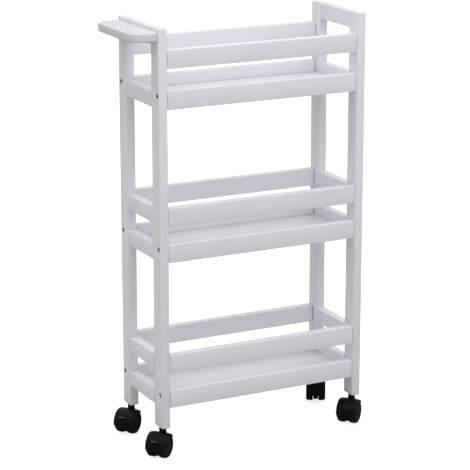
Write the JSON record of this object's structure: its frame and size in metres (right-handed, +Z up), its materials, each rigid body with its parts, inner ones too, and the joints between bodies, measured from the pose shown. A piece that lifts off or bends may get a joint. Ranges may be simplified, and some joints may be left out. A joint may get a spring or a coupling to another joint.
{
  "type": "rolling pantry cart",
  "caption": "Slim boarded three-tier rolling cart with railed shelves, a rounded handle board at one end and swivelling twin-wheel casters, braked at the handle end.",
  "frame": {"origin": "bottom centre of the object's box: on the floor, midway between the handle's outer side and the casters at the plain end", "axes": "+Z up, +X along the cart away from the handle, +Y to the back long side"},
  "size_m": [0.5124, 0.2144, 0.848],
  "materials": {
    "painted_white": "satin white paint over fibreboard",
    "painted_panel": "satin white faced panel",
    "moulded_black": "moulded black plastic, slightly glossy",
    "zinc_steel": "zinc-plated steel"
  },
  "bodies": {
    "frame": {"bolt_back_bottom": "zinc_steel", "bolt_back_middle": "zinc_steel", "bolt_back_top": "zinc_steel", "bolt_front_bottom": "zinc_steel", "bolt_front_middle": "zinc_steel", "bolt_front_top": "zinc_steel", "caster_handle_back_stem": "moulded_black", "caster_handle_front_stem": "moulded_black", "caster_plain_back_stem": "moulded_black", "caster_plain_front_stem": "moulded_black", "end_rail_handle_bottom_lower": "painted_white", "end_rail_handle_bottom_upper": "painted_white", "end_rail_handle_middle_lower": "painted_white", "end_rail_handle_middle_upper": "painted_white", "end_rail_handle_top_lower": "painted_white", "end_rail_plain_bottom_lower": "painted_white", "end_rail_plain_bottom_upper": "painted_white", "end_rail_plain_middle_lower": "painted_white", "end_rail_plain_middle_upper": "painted_white", "end_rail_plain_top_lower": "painted_white", "handle": "painted_white", "post_handle_back": "painted_white", "post_handle_front": "painted_white", "post_plain_back": "painted_white", "post_plain_front": "painted_white", "shelf_bottom": "painted_panel", "shelf_middle": "painted_panel", "shelf_top": "painted_panel", "side_rail_back_bottom_lower": "painted_white", "side_rail_back_bottom_upper": "painted_white", "side_rail_back_middle_lower": "painted_white", "side_rail_back_middle_upper": "painted_white", "side_rail_back_top_lower": "painted_white", "side_rail_back_top_upper": "painted_white", "side_rail_front_bottom_lower": "painted_white", "side_rail_front_bottom_upper": "painted_white", "side_rail_front_middle_lower": "painted_white", "side_rail_front_middle_upper": "painted_white", "side_rail_front_top_lower": "painted_white", "side_rail_front_top_upper": "painted_white", "top_rail_handle": "painted_white", "top_rail_plain": "painted_white"},
    "caster_handle_front_swivel": {"caster_handle_front_hood": "moulded_black", "caster_handle_front_axle": "zinc_steel"},
    "caster_handle_front_wheel_left": {"caster_handle_front_wheel_left": "moulded_black"},
    "caster_handle_front_wheel_right": {"caster_handle_front_wheel_right": "moulded_black"},
    "caster_handle_front_brake": {"caster_handle_front_brake": "moulded_black"},
    "caster_handle_back_swivel": {"caster_handle_back_hood": "moulded_black", "caster_handle_back_axle": "zinc_steel"},
    "caster_handle_back_wheel_left": {"caster_handle_back_wheel_left": "moulded_black"},
    "caster_handle_back_wheel_right": {"caster_handle_back_wheel_right": "moulded_black"},
    "caster_handle_back_brake": {"caster_handle_back_brake": "moulded_black"},
    "caster_plain_front_swivel": {"caster_plain_front_hood": "moulded_black", "caster_plain_front_axle": "zinc_steel"},
    "caster_plain_front_wheel_left": {"caster_plain_front_wheel_left": "moulded_black"},
    "caster_plain_front_wheel_right": {"caster_plain_front_wheel_right": "moulded_black"},
    "caster_plain_back_swivel": {"caster_plain_back_hood": "moulded_black", "caster_plain_back_axle": "zinc_steel"},
    "caster_plain_back_wheel_left": {"caster_plain_back_wheel_left": "moulded_black"},
    "caster_plain_back_wheel_right": {"caster_plain_back_wheel_right": "moulded_black"}
  },
  "joints": [
    {"name": "caster_handle_front_swivel", "type": "hinge", "parent": "frame", "child": "caster_handle_front_swivel", "pos_m": [-0.19419, -0.06417, 0], "axis": [0, 0, 1], "continuous": true},
    {"name": "caster_handle_front_spin_left", "type": "hinge", "parent": "caster_handle_front_swivel", "child": "caster_handle_front_wheel_left", "pos_m": [-0.20589, -0.07434, 0.024], "axis": [0.6561, -0.7547, 0], "continuous": true},
    {"name": "caster_handle_front_spin_right", "type": "hinge", "parent": "caster_handle_front_swivel", "child": "caster_handle_front_wheel_right", "pos_m": [-0.20589, -0.07434, 0.024], "axis": [0.6561, -0.7547, 0], "continuous": true},
    {"name": "caster_handle_front_lever", "type": "hinge", "parent": "caster_handle_front_swivel", "child": "caster_handle_front_brake", "pos_m": [-0.2157, -0.08287, 0.0365], "axis": [0.6561, -0.7547, 0], "range_deg": [0, 10]},
    {"name": "caster_handle_back_swivel", "type": "hinge", "parent": "frame", "child": "caster_handle_back_swivel", "pos_m": [-0.19419, 0.08683, 0], "axis": [0, 0, 1], "continuous": true},
    {"name": "caster_handle_back_spin_left", "type": "hinge", "parent": "caster_handle_back_swivel", "child": "caster_handle_back_wheel_left", "pos_m": [-0.20623, 0.07707, 0.024], "axis": [0.6293, -0.7771, 0], "continuous": true},
    {"name": "caster_handle_back_spin_right", "type": "hinge", "parent": "caster_handle_back_swivel", "child": "caster_handle_back_wheel_right", "pos_m": [-0.20623, 0.07707, 0.024], "axis": [0.6293, -0.7771, 0], "continuous": true},
    {"name": "caster_handle_back_lever", "type": "hinge", "parent": "caster_handle_back_swivel", "child": "caster_handle_back_brake", "pos_m": [-0.21633, 0.06889, 0.0365], "axis": [0.6293, -0.7771, 0], "range_deg": [0, 10]},
    {"name": "caster_plain_front_swivel", "type": "hinge", "parent": "frame", "child": "caster_plain_front_swivel", "pos_m": [0.23481, -0.06417, 0], "axis": [0, 0, 1], "continuous": true},
    {"name": "caster_plain_front_spin_left", "type": "hinge", "parent": "caster_plain_front_swivel", "child": "caster_plain_front_wheel_left", "pos_m": [0.22329, -0.07455, 0.024], "axis": [0.6691, -0.7431, 0], "continuous": true},
    {"name": "caster_plain_front_spin_right", "type": "hinge", "parent": "caster_plain_front_swivel", "child": "caster_plain_front_wheel_right", "pos_m": [0.22329, -0.07455, 0.024], "axis": [0.6691, -0.7431, 0], "continuous": true},
    {"name": "caster_plain_back_swivel", "type": "hinge", "parent": "frame", "child": "caster_plain_back_swivel", "pos_m": [0.23481, 0.08683, 0], "axis": [0, 0, 1], "continuous": true},
    {"name": "caster_plain_back_spin_left", "type": "hinge", "parent": "caster_plain_back_swivel", "child": "caster_plain_back_wheel_left", "pos_m": [0.2273, 0.07327, 0.024], "axis": [0.8746, -0.4848, 0], "continuous": true},
    {"name": "caster_plain_back_spin_right", "type": "hinge", "parent": "caster_plain_back_swivel", "child": "caster_plain_back_wheel_right", "pos_m": [0.2273, 0.07327, 0.024], "axis": [0.8746, -0.4848, 0], "continuous": true}
  ]
}
